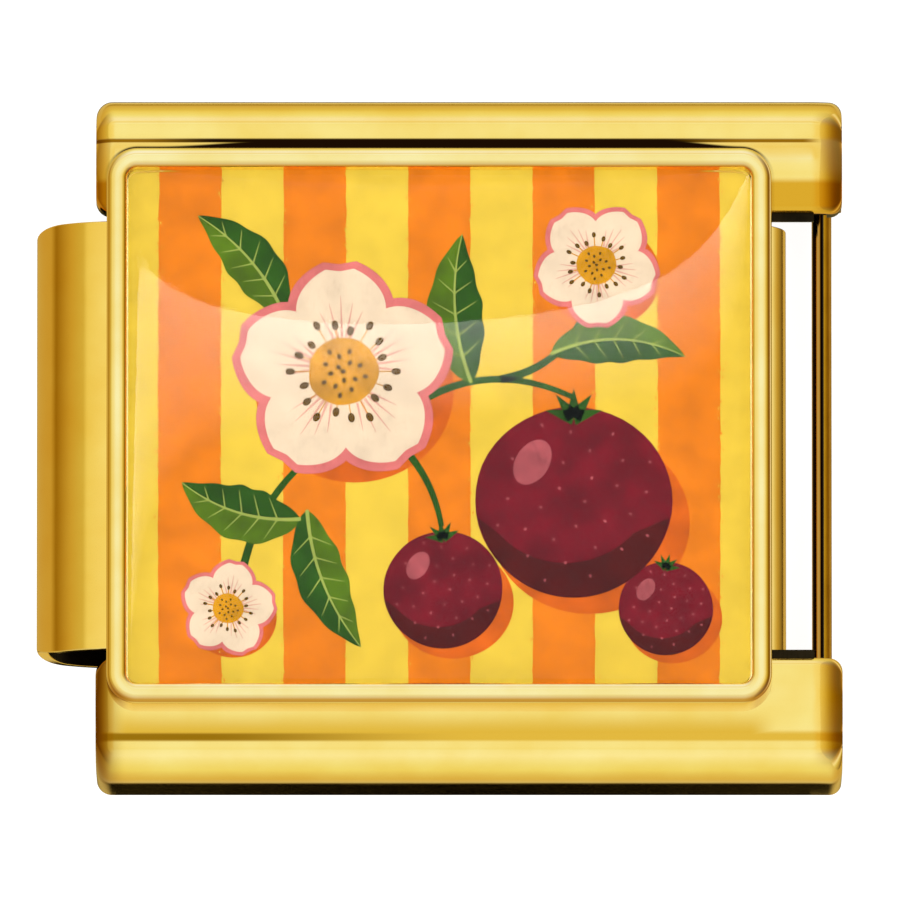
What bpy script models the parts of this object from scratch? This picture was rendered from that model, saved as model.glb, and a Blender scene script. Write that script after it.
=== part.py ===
"""Gold link of a modular charm bracelet, lying on its back, with a printed picture under clear resin.

X runs along the bracelet, Y across it and Z out of the picture. The origin is on the plane that the
link's back rests on, under the middle of the picture.
"""

import math

import bmesh
import bpy

MM = 0.001

# Driving dimensions, in millimetres
LINK_WIDTH = 9.0
RAIL_LEFT = -4.49
RAIL_RIGHT = 5.27
RAIL_INNER = 2.925
RAIL_HEIGHT = 2.33
SHEET = 0.20
RAIL_ROOF = 0.30
RAIL_WALL = 0.40
BACK_FLANGE_INNER = 3.19
RAIL_INNER_ROUND = 0.12
RAIL_BACK_ROUND = 0.18
# The rail's top from its inner edge to the crease: how far out, and how far down
RAIL_TOP = ((0.35, 0.0), (0.65, 0.035), (0.85, 0.08), (0.965, 0.115))
CREASE = (1.015, 0.165)
# The bead past the crease, then its quarter of an ellipse down to the outer wall
BEAD = ((1.065, 0.122), (1.12, 0.115))
BEAD_ROUND_WIDTH = 0.42
BEAD_ROUND_TOP = 2.215
BEAD_ROUND_BOTTOM = 1.26
BEAD_ANGLES = (90, 76, 62, 47, 31, 15, 0)
LIP_BOTTOM = 1.78
# The rails' ends: how far in the top starts to fall, how far it falls, and the round corner seen from above
RIGHT_END = (0.42, 0.195, 0.16)
LEFT_END = (0.26, 0.17, 0.20)
END_STATIONS = (0.0, 0.03, 0.09, 0.2, 0.38, 0.65, 1.0)
# The thin flange along each ear's inner edge beside the slot
SLOT_FLANGE_LEFT = 4.10
SLOT_FLANGE_RIGHT = 4.87
SLOT_FLANGE_INNER = 2.818
SLOT_FLANGE_OVERLAP = 0.03
SLOT_FLANGE_BOTTOM = 2.12
SLOT_FLANGE_TOP = 2.20

BEZEL_LENGTH = 8.68
BEZEL_WIDTH = 7.30
BEZEL_BOTTOM = 2.35
BEZEL_TOP = 3.37
BEZEL_CORNER = 0.40
RIM = 0.26
RIM_ROUND = 0.10
TRAY_FLOOR = 0.25

FIT_GAP = 0.02
PICTURE_THICKNESS = 0.15
DOME_EDGE = 3.20
DOME_TOP = 3.49
DOME_CORNER = 0.13
CROWN_POWER = 2.6
CROWN_RINGS = 9
CROWN_REACH = 0.98
CROWN_ROUNDING = 0.5

SLEEVE_LEFT = -5.27
SLEEVE_RIGHT = 4.54
SLEEVE_HALF_LENGTH = 2.815
SLEEVE_BOTTOM = 0.03
SLEEVE_RADIUS = 1.135
SLEEVE_WALL = 0.15
HOOK_CORNER_REACH = 0.30
HOOK_CORNER_INSET = 0.10
HOOK_LIP = -4.34
SEAM_END = -3.86

PIN_RADIUS = 0.14
PIN_HEIGHT = 1.40
PIN_LEFT_X = -3.04
THIN_PIN_RADIUS = 0.075
PIN_RIGHT_X = 4.96
RIGHT_BAR_RADIUS = 0.13
RIGHT_BAR_X = 5.015
STAPLE_REACH = 0.89
STAPLE_LEAN = 50.0
WEB_RADIUS = 0.26
WEB_THICKNESS = 0.12
WEB_CENTRE = 3.22
RUNNING_GAP = 0.025
BAR_END = 0.02

SPRING_THICKNESS = 0.06
SPRING_HALF_LENGTH = 2.60
STAPLE_SPRING_WIDTH = 0.90
HOOK_SPRING_WIDTH = 0.80
HOOK_SPRING_X = -4.10
HOOK_SPRING_BOW = 0.42
SPRING_STEPS = 10

CUT_PAST = 1.0
WELD = 0.0001
ARC_STEPS = 14
CORNER_STEPS = 5
FILLET_STEPS = 4
PIN_SIDES = 24

# Colours as red, green and blue, with roughness and metallic value
GOLD = ((0.72, 0.40, 0.03), 0.16, 1.0)
STEEL = ((0.62, 0.58, 0.50), 0.30, 1.0)
PRINT = ((0.90, 0.40, 0.07), 0.50, 0.0)
RESIN = ((0.95, 0.93, 0.88), 0.05, 0.0)


def new_material(name, look):
    """A Principled material in one plain finish."""
    colour, roughness, metallic = look
    material = bpy.data.materials.new(name)
    material.use_nodes = True
    shader = material.node_tree.nodes["Principled BSDF"]
    shader.inputs["Base Color"].default_value = (*colour, 1.0)
    shader.inputs["Roughness"].default_value = roughness
    shader.inputs["Metallic"].default_value = metallic
    return material


def add_object(name, mesh, collection, look=None):
    """Puts a mesh into the collection as a named object with its own material."""
    shape = bpy.data.objects.new(name, mesh)
    collection.objects.link(shape)
    if look:
        mesh.materials.append(new_material(name, look))
    return shape


def to_mesh(name, built, smooth_angle=35.0):
    """Turns a bmesh into a mesh whose faces point outwards and whose round stretches shade smoothly."""
    bmesh.ops.recalc_face_normals(built, faces=built.faces[:])
    mesh = bpy.data.meshes.new(name)
    built.to_mesh(mesh)
    built.free()
    mesh.shade_smooth()
    mesh.set_sharp_from_angle(angle=math.radians(smooth_angle))
    return mesh


def arc(centre, radius, start, end, steps):
    """Points along an arc in a plane, from one angle to another, in degrees."""
    points = []
    for step in range(steps + 1):
        angle = math.radians(start + (end - start) * step / steps)
        points.append((centre[0] + radius * math.cos(angle), centre[1] + radius * math.sin(angle)))
    return points


def rounded_rectangle(length, width, radius):
    """The outline of a rectangle with round corners, counter-clockwise from its lower right corner."""
    outline = []
    for turn, (side_x, side_y) in enumerate(((1, -1), (1, 1), (-1, 1), (-1, -1))):
        centre = (side_x * (length / 2 - radius), side_y * (width / 2 - radius))
        start = -90 + 90 * turn
        outline += arc(centre, radius, start, start + 90, CORNER_STEPS)
    return outline


def loft(name, rings):
    """A closed body through rings of equally many points in millimetres, with a flat cap at each end."""
    built = bmesh.new()
    rows = [[built.verts.new([value * MM for value in point]) for point in ring] for ring in rings]
    count = len(rows[0])
    for lower, upper in zip(rows, rows[1:]):
        for i in range(count):
            j = (i + 1) % count
            built.faces.new((lower[i], lower[j], upper[j], upper[i]))
    built.faces.new(rows[0])
    built.faces.new(rows[-1])
    return to_mesh(name, built)


def plate(name, outlines, thickness, centre_y, collection):
    """A flat plate across Y from closed outlines in X and Z; an outline inside another is a hole."""
    curve = bpy.data.curves.new(name, "CURVE")
    curve.dimensions = "2D"
    curve.fill_mode = "BOTH"
    curve.extrude = thickness / 2 * MM
    for outline in outlines:
        spline = curve.splines.new("POLY")
        spline.points.add(len(outline) - 1)
        for point, (x, z) in zip(spline.points, outline):
            point.co = (x * MM, z * MM, 0.0, 1.0)
        spline.use_cyclic_u = True
    drawn = bpy.data.objects.new(name, curve)
    collection.objects.link(drawn)
    drawn.rotation_euler = (math.pi / 2, 0.0, 0.0)
    drawn.location = (0.0, centre_y * MM, 0.0)
    bpy.context.view_layer.update()
    evaluated = drawn.evaluated_get(bpy.context.evaluated_depsgraph_get())
    mesh = bpy.data.meshes.new_from_object(evaluated)
    mesh.transform(drawn.matrix_world)
    bpy.data.objects.remove(drawn)
    welded = bmesh.new()
    welded.from_mesh(mesh)
    bmesh.ops.remove_doubles(welded, verts=welded.verts[:], dist=WELD * MM)
    bpy.data.meshes.remove(mesh)
    return add_object(name, to_mesh(name, welded), collection)


def cross_pin(name, x, z, radius, half_length, collection, look=None):
    """A round pin along Y, centred on the link's middle."""
    built = bmesh.new()
    bmesh.ops.create_cone(
        built,
        cap_ends=True,
        segments=PIN_SIDES,
        radius1=radius * MM,
        radius2=radius * MM,
        depth=2 * half_length * MM,
    )
    for vert in built.verts:
        along, across = vert.co.z, vert.co.y
        vert.co = (vert.co.x, along, across)
    shape = add_object(name, to_mesh(name, built), collection, look)
    shape.location = (x * MM, 0.0, z * MM)
    return shape


def boolean(shape, other, operation):
    """Cuts the other object out of the shape, or joins it to the shape."""
    other.hide_render = True
    other.display_type = "WIRE"
    modifier = shape.modifiers.new(f"{operation.lower()} {other.name}", "BOOLEAN")
    modifier.operation = operation
    modifier.object = other


def rail_profile(crease_share):
    """The rail's section in Y and Z: stepped inner side, sloping top, crease, bead and outer wall."""
    edge = LINK_WIDTH / 2
    step = RAIL_HEIGHT / 2
    profile = [(BACK_FLANGE_INNER, 0.0), (BACK_FLANGE_INNER, step), (RAIL_INNER, step)]
    inner_centre = (RAIL_INNER + RAIL_INNER_ROUND, RAIL_HEIGHT - RAIL_INNER_ROUND)
    profile += arc(inner_centre, RAIL_INNER_ROUND, 180, 90, FILLET_STEPS)
    profile += [(RAIL_INNER + out, RAIL_HEIGHT - down) for out, down in RAIL_TOP]
    shoulder = RAIL_TOP[-1][1]
    crease_drop = shoulder + (CREASE[1] - shoulder) * crease_share
    profile.append((RAIL_INNER + CREASE[0], RAIL_HEIGHT - crease_drop))
    profile += [(RAIL_INNER + out, RAIL_HEIGHT - down) for out, down in BEAD]
    for turn in BEAD_ANGLES:
        angle = math.radians(turn)
        across = edge - BEAD_ROUND_WIDTH * (1 - math.cos(angle))
        profile.append((across, BEAD_ROUND_BOTTOM + (BEAD_ROUND_TOP - BEAD_ROUND_BOTTOM) * math.sin(angle)))
    profile += arc((edge - RAIL_BACK_ROUND, RAIL_BACK_ROUND), RAIL_BACK_ROUND, 0, -90, FILLET_STEPS)
    return profile


def end_fall(share, fall):
    """How far something has fallen at a share of its reach from the rail's end: a shallow round."""
    return fall * (1 - share) ** 2


def corner_inset(along, radius):
    """How far a round corner has drawn in at a distance from the rail's end."""
    if along >= radius:
        return 0.0
    return radius - math.sqrt(radius ** 2 - (radius - along) ** 2)


def rail_rings(side):
    """Sections along the rail, with the top falling towards each end and the corners drawn in."""
    middle = (RAIL_INNER + LINK_WIDTH / 2) / 2
    half = LINK_WIDTH / 2 - middle
    rings = []
    for end, direction, (reach, fall, corner) in ((RAIL_LEFT, 1, LEFT_END), (RAIL_RIGHT, -1, RIGHT_END)):
        stations = []
        for share in END_STATIONS:
            along = share * reach
            height = RAIL_HEIGHT - end_fall(share, fall)
            narrow = (half - corner_inset(along, corner)) / half
            ring = []
            for y, z in rail_profile(share):
                across = middle + (y - middle) * narrow
                ring.append((end + direction * along, side * across, z * height / RAIL_HEIGHT))
            stations.append(ring)
        rings += stations if direction > 0 else stations[::-1]
    return rings


def box_outline(left, right, bottom, top):
    """A rectangle in X and Z, counter-clockwise."""
    return [(left, bottom), (right, bottom), (right, top), (left, top)]


def add_rail(name, side, parts, cutters):
    """A channel open towards the sleeve: outer skin, hollow, open ends and the flange beside the slot."""
    rail = add_object(name, loft(name, rail_rings(side)), parts, GOLD)
    hollow = [
        (RAIL_LEFT - CUT_PAST, SHEET),
        (RAIL_RIGHT + CUT_PAST, SHEET),
        (RAIL_RIGHT + CUT_PAST, LIP_BOTTOM),
        (RAIL_RIGHT - SHEET, LIP_BOTTOM),
        (RAIL_RIGHT - SHEET, RAIL_HEIGHT - RAIL_ROOF),
        (RAIL_LEFT + SHEET, RAIL_HEIGHT - RAIL_ROOF),
        (RAIL_LEFT + SHEET, LIP_BOTTOM),
        (RAIL_LEFT - CUT_PAST, LIP_BOTTOM),
    ]
    inner = RAIL_INNER - CUT_PAST
    outer = LINK_WIDTH / 2 - RAIL_WALL
    cutter = plate(f"{name}_hollow", [hollow], outer - inner, side * (inner + outer) / 2, cutters)
    boolean(rail, cutter, "DIFFERENCE")
    flange_outer = RAIL_INNER + SLOT_FLANGE_OVERLAP
    flange_box = box_outline(SLOT_FLANGE_LEFT, SLOT_FLANGE_RIGHT, SLOT_FLANGE_BOTTOM, SLOT_FLANGE_TOP)
    flange = plate(f"{name}_flange", [flange_box], flange_outer - SLOT_FLANGE_INNER,
                   side * (flange_outer + SLOT_FLANGE_INNER) / 2, cutters)
    boolean(rail, flange, "UNION")


def add_tray(parts):
    """The bezel with its floor: up the outer wall, over the round rim and down to the recess."""
    steps = [(0.0, BEZEL_BOTTOM), (0.0, BEZEL_TOP - RIM_ROUND)]
    for rim in (arc((RIM_ROUND, -RIM_ROUND), RIM_ROUND, 180, 90, FILLET_STEPS)[1:],
                arc((RIM - RIM_ROUND, -RIM_ROUND), RIM_ROUND, 90, 0, FILLET_STEPS)):
        steps += [(inset, BEZEL_TOP + drop) for inset, drop in rim]
    steps.append((RIM, BEZEL_BOTTOM + TRAY_FLOOR))
    rings = []
    for inset, z in steps:
        outline = rounded_rectangle(
            BEZEL_LENGTH - 2 * inset, BEZEL_WIDTH - 2 * inset, BEZEL_CORNER - inset
        )
        rings.append([(x, y, z) for x, y in outline])
    add_object("tray", loft("tray", rings), parts, GOLD)


def recess_outline(inset, corner=DOME_CORNER):
    """The outline of what lies in the tray, that far inside the rim and its fitting gap."""
    length = BEZEL_LENGTH - 2 * (RIM + FIT_GAP + inset)
    width = BEZEL_WIDTH - 2 * (RIM + FIT_GAP + inset)
    return rounded_rectangle(length, width, corner)


def add_picture(parts):
    """The thin printed plate on the tray's floor."""
    bottom = BEZEL_BOTTOM + TRAY_FLOOR + FIT_GAP
    rings = [[(x, y, z) for x, y in recess_outline(0.0)] for z in (bottom, bottom + PICTURE_THICKNESS)]
    add_object("picture", loft("picture", rings), parts, PRINT)


def crown_height(x, y):
    """How high the resin's top is: steep beside the rim and nearly flat in the middle."""
    along = abs(2 * x / (BEZEL_LENGTH - 2 * RIM - 2 * FIT_GAP))
    across = abs(2 * y / (BEZEL_WIDTH - 2 * RIM - 2 * FIT_GAP))
    swell = (1 - along ** CROWN_POWER) * (1 - across ** CROWN_POWER)
    return DOME_EDGE + (DOME_TOP - DOME_EDGE) * math.sqrt(max(swell, 0.0))


def add_dome(parts):
    """The clear resin over the picture: a low wall, then the crown in ever rounder rings."""
    bottom = BEZEL_BOTTOM + TRAY_FLOOR + PICTURE_THICKNESS + 2 * FIT_GAP
    half_width = BEZEL_WIDTH / 2 - RIM - FIT_GAP
    rings = [[(x, y, bottom) for x, y in recess_outline(0.0)]]
    rings.append([(x, y, DOME_EDGE) for x, y in recess_outline(0.0)])
    for step in range(1, CROWN_RINGS + 1):
        inset = (half_width - DOME_CORNER) * (step / CROWN_RINGS) ** 2 * CROWN_REACH
        corner = min(DOME_CORNER + CROWN_ROUNDING * inset, half_width - inset - FIT_GAP)
        rings.append([(x, y, crown_height(x, y)) for x, y in recess_outline(inset, corner)])
    add_object("dome", loft("dome", rings), parts, RESIN)


def sleeve_path():
    """The middle line of the sleeve's wall in X and Z, from the hook's lip round to the seam."""
    radius = SLEEVE_RADIUS - SLEEVE_WALL / 2
    axis_z = SLEEVE_BOTTOM + SLEEVE_RADIUS
    left = SLEEVE_LEFT + SLEEVE_RADIUS
    right = SLEEVE_RIGHT - SLEEVE_RADIUS
    lip = 270 - math.degrees(math.asin((left - HOOK_LIP) / radius))
    path = arc((left, axis_z), radius, lip, 90, 2 * ARC_STEPS)
    path += arc((right, axis_z), radius, 90, -90, 2 * ARC_STEPS)
    path.append((SEAM_END, axis_z - radius))
    return path


def strip(name, stations, thickness, collection, look):
    """An open strip through stations of middle point and half width in X and Y, thick to both sides."""
    built = bmesh.new()
    rows = []
    for x, y, z, reach_x, reach_y in stations:
        rows.append([
            built.verts.new(((x - reach_x) * MM, (y - reach_y) * MM, z * MM)),
            built.verts.new(((x + reach_x) * MM, (y + reach_y) * MM, z * MM)),
        ])
    for first, second in zip(rows, rows[1:]):
        built.faces.new((first[0], first[1], second[1], second[0]))
    shape = add_object(name, to_mesh(name, built), collection, look)
    solidify = shape.modifiers.new("wall", "SOLIDIFY")
    solidify.thickness = thickness * MM
    solidify.offset = 0.0
    solidify.use_even_offset = True
    return shape


def add_sleeve(parts):
    """The flattened tube under the tray: open ends, round corners at the hook, and a seam at its back."""
    stations = []
    for x, z in sleeve_path():
        past = min(1.0, max(0.0, (x - SLEEVE_LEFT - SLEEVE_WALL / 2) / HOOK_CORNER_REACH))
        inset = HOOK_CORNER_INSET * (1 - math.sqrt(1 - (1 - past) ** 2))
        stations.append((x, 0.0, z, 0.0, SLEEVE_HALF_LENGTH - inset))
    strip("sleeve", stations, SLEEVE_WALL, parts, GOLD)


def add_springs(staple_x, staple_z, parts):
    """The two bowed leaf springs in the sleeve: one up under the bar, one down over the hook's mouth."""
    floor = SLEEVE_BOTTOM + SLEEVE_WALL + SPRING_THICKNESS
    crown = staple_z - PIN_RADIUS - SPRING_THICKNESS - FIT_GAP
    roof = SLEEVE_BOTTOM + 2 * SLEEVE_RADIUS - SLEEVE_WALL - SPRING_THICKNESS
    bows = (
        ("staple_spring", staple_x, floor, crown, STAPLE_SPRING_WIDTH),
        ("hook_spring", HOOK_SPRING_X, roof, roof - HOOK_SPRING_BOW, HOOK_SPRING_WIDTH),
    )
    for name, x, end_z, middle_z, width in bows:
        stations = []
        for step in range(SPRING_STEPS + 1):
            share = 2 * step / SPRING_STEPS - 1
            z = end_z + (middle_z - end_z) * (1 - share * share)
            stations.append((x, share * SPRING_HALF_LENGTH, z, width / 2, 0.0))
        strip(name, stations, SPRING_THICKNESS, parts, STEEL)


def web_outlines(pivot, pin_radius, bar):
    """A web's outline, round about the pivot and the bar, and the pivot's hole."""
    heading = math.degrees(math.atan2(bar[1] - pivot[1], bar[0] - pivot[0]))
    outline = arc(pivot, WEB_RADIUS, heading + 90, heading + 270, ARC_STEPS)
    outline += arc(bar, WEB_RADIUS, heading - 90, heading + 90, ARC_STEPS)
    hole = arc(pivot, pin_radius + RUNNING_GAP, 0, 360, PIN_SIDES)[:-1]
    return [outline, hole]


def add_staple(name, pivot, pin_radius, bar, bar_radius, parts, cutters):
    """Two webs that turn on a cross pin, joined by a bar; its origin is on the pin's axis."""
    bar_half_length = WEB_CENTRE + WEB_THICKNESS / 2 + BAR_END
    staple = cross_pin(name, *bar, bar_radius, bar_half_length, parts, STEEL)
    shift_x, shift_z = (bar[0] - pivot[0]) * MM, (bar[1] - pivot[1]) * MM
    for vert in staple.data.vertices:
        vert.co.x += shift_x
        vert.co.z += shift_z
    staple.location = (pivot[0] * MM, 0.0, pivot[1] * MM)
    for side, label in ((1, "upper"), (-1, "lower")):
        outlines = web_outlines(pivot, pin_radius, bar)
        web = plate(f"{name}_web_{label}", outlines, WEB_THICKNESS, side * WEB_CENTRE, cutters)
        boolean(staple, web, "UNION")


def main():
    """Clears the scene and builds the link."""
    for old in list(bpy.data.objects):
        bpy.data.objects.remove(old, do_unlink=True)
    parts = bpy.data.collections.new("charm bracelet link")
    cutters = bpy.data.collections.new("cutters")
    for collection in (parts, cutters):
        bpy.context.scene.collection.children.link(collection)

    add_rail("rail_top", 1, parts, cutters)
    add_rail("rail_bottom", -1, parts, cutters)
    add_tray(parts)
    add_picture(parts)
    add_dome(parts)
    add_sleeve(parts)

    lean = math.radians(STAPLE_LEAN)
    left_pivot = (PIN_LEFT_X, PIN_HEIGHT)
    left_bar = (PIN_LEFT_X + STAPLE_REACH * math.sin(lean), PIN_HEIGHT - STAPLE_REACH * math.cos(lean))
    right_pivot = (PIN_RIGHT_X, PIN_HEIGHT)
    right_bar = (RIGHT_BAR_X, PIN_HEIGHT - STAPLE_REACH)
    pin_half_length = LINK_WIDTH / 2 - RAIL_WALL - FIT_GAP
    cross_pin("pin_left", *left_pivot, PIN_RADIUS, pin_half_length, parts, STEEL)
    cross_pin("pin_right", *right_pivot, THIN_PIN_RADIUS, pin_half_length, parts, STEEL)
    add_staple("staple_left", left_pivot, PIN_RADIUS, left_bar, PIN_RADIUS, parts, cutters)
    add_staple("staple_right", right_pivot, THIN_PIN_RADIUS, right_bar, RIGHT_BAR_RADIUS, parts, cutters)
    add_springs(*left_bar, parts)


main()
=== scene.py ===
"""Looks of the gold charm bracelet link: polished plate, a printed picture and clear resin over it.

Sizes are in millimetres in the frame of the solids and are turned into metres where a mesh is made.
"""

import random
from math import asin, cos, degrees, hypot, pi, radians, sin, sqrt, tan

import bmesh
import bpy
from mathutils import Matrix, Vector


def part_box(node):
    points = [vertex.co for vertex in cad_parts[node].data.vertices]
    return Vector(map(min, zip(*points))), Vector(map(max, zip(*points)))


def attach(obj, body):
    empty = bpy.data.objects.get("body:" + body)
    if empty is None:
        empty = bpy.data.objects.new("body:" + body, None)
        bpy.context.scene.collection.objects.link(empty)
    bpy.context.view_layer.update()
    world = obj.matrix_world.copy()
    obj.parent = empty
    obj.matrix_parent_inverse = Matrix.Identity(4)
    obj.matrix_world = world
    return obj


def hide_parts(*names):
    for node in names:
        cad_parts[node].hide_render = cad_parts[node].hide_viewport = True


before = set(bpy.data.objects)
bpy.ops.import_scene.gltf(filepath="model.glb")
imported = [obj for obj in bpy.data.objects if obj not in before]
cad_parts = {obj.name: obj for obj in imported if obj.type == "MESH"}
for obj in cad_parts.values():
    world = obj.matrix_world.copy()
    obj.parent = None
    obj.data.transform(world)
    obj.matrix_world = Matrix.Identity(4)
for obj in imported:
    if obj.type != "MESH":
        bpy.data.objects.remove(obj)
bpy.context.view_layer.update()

MM = 0.001


def box_mm(node):
    """A node's lowest and highest corners in millimetres."""
    low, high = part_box(node)
    return low / MM, high / MM


RAIL_LOW, RAIL_HIGH = box_mm("rail_top")
TRAY_LOW, TRAY_HIGH = box_mm("tray")
PICTURE_LOW, PICTURE_HIGH = box_mm("picture")
DOME_LOW, DOME_HIGH = box_mm("dome")
SLEEVE_LOW, SLEEVE_HIGH = box_mm("sleeve")

# Camera: the photograph's frame in pixels, and a pixel in millimetres, seen through a long lens
PHOTO_SIDE = 909
PIXEL = 0.0131
PHOTO_CENTRE = (439.3, 446.2)
CAMERA_TILT = 7.0
CAMERA_LENS = 1500.0
SENSOR = 36.0
CLIPPING = (0.01, 20.0)
OBJECT_MIDDLE_Z = 1.05

# Stamped rails, as in the solids but finer
RAIL_INNER = 2.925
RAIL_HEIGHT = 2.33
SHEET = 0.20
RAIL_ROOF = 0.30
RAIL_WALL = 0.40
BACK_FLANGE_INNER = 3.19
RAIL_INNER_ROUND = 0.12
RAIL_BACK_ROUND = 0.18
# The top's line: how far out from the inner edge, and how far down
RAIL_TOP_LINE = (
    (0.12, 0.027), (0.19, 0.0205), (0.26, 0.0145), (0.32, 0.0095), (0.38, 0.0058), (0.44, 0.0045),
    (0.50, 0.0065), (0.57, 0.0145), (0.66, 0.030), (0.76, 0.051), (0.85, 0.073), (0.92, 0.092),
    (0.965, 0.107), (0.992, 0.1135), (1.03, 0.115), (1.085, 0.115))
BEAD_ROUND_WIDTH = 0.42
BEAD_ROUND_TOP = 2.215
BEAD_ROUND_BOTTOM = 1.26
BEAD_STEPS = 26
LIP_BOTTOM = 1.78
# How far from each end the top starts to fall, how far it falls, and the corner's radius
RIGHT_END = (0.42, 0.195, 0.16)
LEFT_END = (0.26, 0.17, 0.20)
# Where the sections of a falling end lie, as shares of its length
END_STATIONS = (
    0.0, 0.01, 0.03, 0.06, 0.10, 0.15, 0.21, 0.28, 0.35, 0.43, 0.51, 0.59, 0.67, 0.75, 0.82, 0.88,
    0.94, 1.0)
# The flange beside the slot: left, right, bottom and top, and how far it goes into the rail
SLOT_FLANGE = (4.10, 4.90, 2.12, 2.20)
SLOT_FLANGE_OVERLAP = 0.03
# How far the cutter goes past a rail, and how near to a place a face counts as there
CUTTER_PAST = 1.0
SLACK = 0.001

# Bezel, picture and resin
BEZEL_CORNER = 0.40
FOOT_BREAK = 0.012
RIM = 0.26
RIM_CREST = 0.135
RIM_OUTER_DROP = 0.13
RIM_INNER_DROP = 0.065
RIM_FULLNESS = 2.3
RIM_STEPS = 16
TRAY_FLOOR = 0.25
DOME_EDGE = 3.20
DOME_CORNER = 0.13
DOME_SIDE_POINTS = 28
# The resin's crown: how square its plan is, how full its sides are, and how its rings draw in
CROWN_POWER = 2.0
CROWN_FULLNESS = 0.56
CROWN_RINGS = 40
CROWN_REACH = 0.985
CROWN_CORNER_GROWTH = 0.5
CROWN_CORNER_GAP = 0.01

# Sleeve
SLEEVE_WALL = 0.15
HOOK_LIP = -4.34
SEAM_END = -3.86
HOOK_CORNER_REACH = 0.30
HOOK_CORNER_INSET = 0.10

# Fineness, and how far edges are softened, from which angle on
FINE_ARC = 40
FINE_CORNER = 14
FINE_FILLET = 10
PLATE_CORNER = 8
PIN_SIDES = 48
SMOOTH_ANGLE = 32.0
INNER_SMOOTH_ANGLE = 30.0
PRINT_SMOOTH_ANGLE = 20.0
EDGE_BREAK = 0.018
EDGE_ANGLE = 38.0
SLEEVE_BREAK = 0.02
FLANGE_BREAK = 0.01
INNER_BREAK = 0.012
INNER_ANGLE = 50.0

# The overhead lamp: its power, its width and its lean in degrees
LAMP_POWER = 4.4
LAMP_WIDTH = 120
LAMP_LEAN = (12, -10)
# Under it an ink shows this many times lighter than it is, with the resin's sheen on top
INK_GAIN = 1.95
RESIN_SHEEN = 0.022
RESIN_IOR = 1.25
# The table: half its side in millimetres, its paper's greys and its glow
TABLE_HALF = 4000.0
TABLE_GREYS = (0.30, 0.33)
TABLE_GLOW = 0.90

# Tones of the photograph's gold, as shown colours, and what neutral light gives in it
GOLD = (1.0, 0.70, 0.20)
BEZEL_GOLD = (1.0, 0.76, 0.32)
ZENITH = (251, 228, 132)
# What the gold mirrors in four directions: how steeply one points up or down, and the tone shown
NORTH = (
    (-0.93, (133, 101, 21)), (-0.85, (158, 110, 7)), (-0.755, (214, 163, 47)),
    (-0.494, (228, 187, 62)), (-0.33, (241, 205, 84)), (0.03, (245, 220, 110)),
    (0.45, (252, 228, 150)), (0.64, (251, 226, 145)), (0.71, (248, 219, 125)),
    (0.79, (243, 206, 98)), (0.825, (247, 217, 117)), (0.86, (250, 236, 165)),
    (0.90, (250, 243, 192)))
SOUTH = (
    (-1.0, (4, 1, 0)), (-0.97, (4, 1, 0)), (-0.957, (112, 81, 18)), (-0.94, (217, 172, 65)),
    (-0.866, (222, 173, 52)), (-0.58, (243, 214, 95)), (-0.15, (248, 225, 124)),
    (0.415, (255, 235, 150)), (0.85, (252, 232, 142)), (0.95, (249, 225, 125)), (1.0, ZENITH))
WEST = (
    (-1.0, (203, 149, 41)), (-0.39, (203, 149, 41)), (-0.30, (182, 129, 25)), (-0.2, (153, 99, 2)),
    (0.0, (179, 125, 21)), (0.28, (205, 153, 39)), (0.57, (213, 171, 53)), (0.65, (240, 201, 82)),
    (0.93, (248, 212, 100)), (1.0, ZENITH))
EAST = (
    (-0.85, (61, 28, 0)), (-0.76, (145, 105, 23)), (-0.6, (200, 150, 40)), (-0.5, (222, 184, 78)),
    (-0.43, (246, 216, 117)), (-0.36, (252, 213, 130)), (-0.2, (190, 130, 30)),
    (0.05, (120, 74, 3)), (0.17, (117, 74, 4)), (0.31, (133, 82, 1)), (0.457, (160, 108, 5)),
    (0.609, (194, 144, 26)), (0.75, (221, 173, 52)), (0.87, (234, 192, 72)))
# The strip lamp that the resin mirrors: height in metres, its edges' degrees from overhead, length
# in metres, turn in degrees, and watts
STRIP_DISTANCE = 0.4
STRIP_ANGLES = (7.2, 11.9)
STRIP_LENGTH = 0.7
STRIP_TURN = 5.0
STRIP_POWER = 0.78
# How much less the tones across the link count than those along it, and how far towards +Y or +X
# the north's or east's tones begin
ALONG_WEIGHT = 0.4
SIDE_FROM = 0.5
# Painted shade on the rails' plate, in millimetres: from where it starts to fade to where it ends.
# First the painted shadow line along the bezel's upper edge, lifted by this much
BEZEL_LIFT = 0.11
CORNER_LINE = (0.112, 0.145)
CORNER_LINE_THIN = 0.085
CORNER_LINE_LEFT = (-3.7, -2.0)
CORNER_LINE_RIGHT = (2.9, 4.0)
CORNER_LINE_END = (4.05, 4.45)
# Painted shade at the upper rail's crease, outer edge and inner strip
UPPER_CREASE = (3.85, 3.868, 3.895, 3.925)
UPPER_CREASE_END = (4.75, 5.05)
UPPER_CREASE_DARK = (2.9, 4.1)
OUTER_EDGE = (4.455, 4.485)
INNER_STRIP = (3.30, 3.40)
# Painted shade on the lower rail: a darker stretch, its crease and its left end
SHADED_STRETCH = (3.60, 3.90)
SHADED_STRETCH_OUTER = (3.86, 3.94)
SHADED_LEFT_END = (-4.49, -4.08)
CREASE_LINE = (3.90, 3.94, 3.995, 4.04)
CREASE_LINE_FADE = (-3.2, 0.6)
# Where lower passes into upper
HALVES = (-0.01, 0.01)
# Tones of the painted shade on the plate
PLATE_DEEP = (0.742, 0.363, 0.0227, 1.0)
PLATE_SHADED = (0.80, 0.44, 0.045, 1.0)
PLATE_BROWN = (0.34, 0.15, 0.004, 1.0)
PLATE_BLACK = (0.012, 0.004, 0.001, 1.0)
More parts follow.
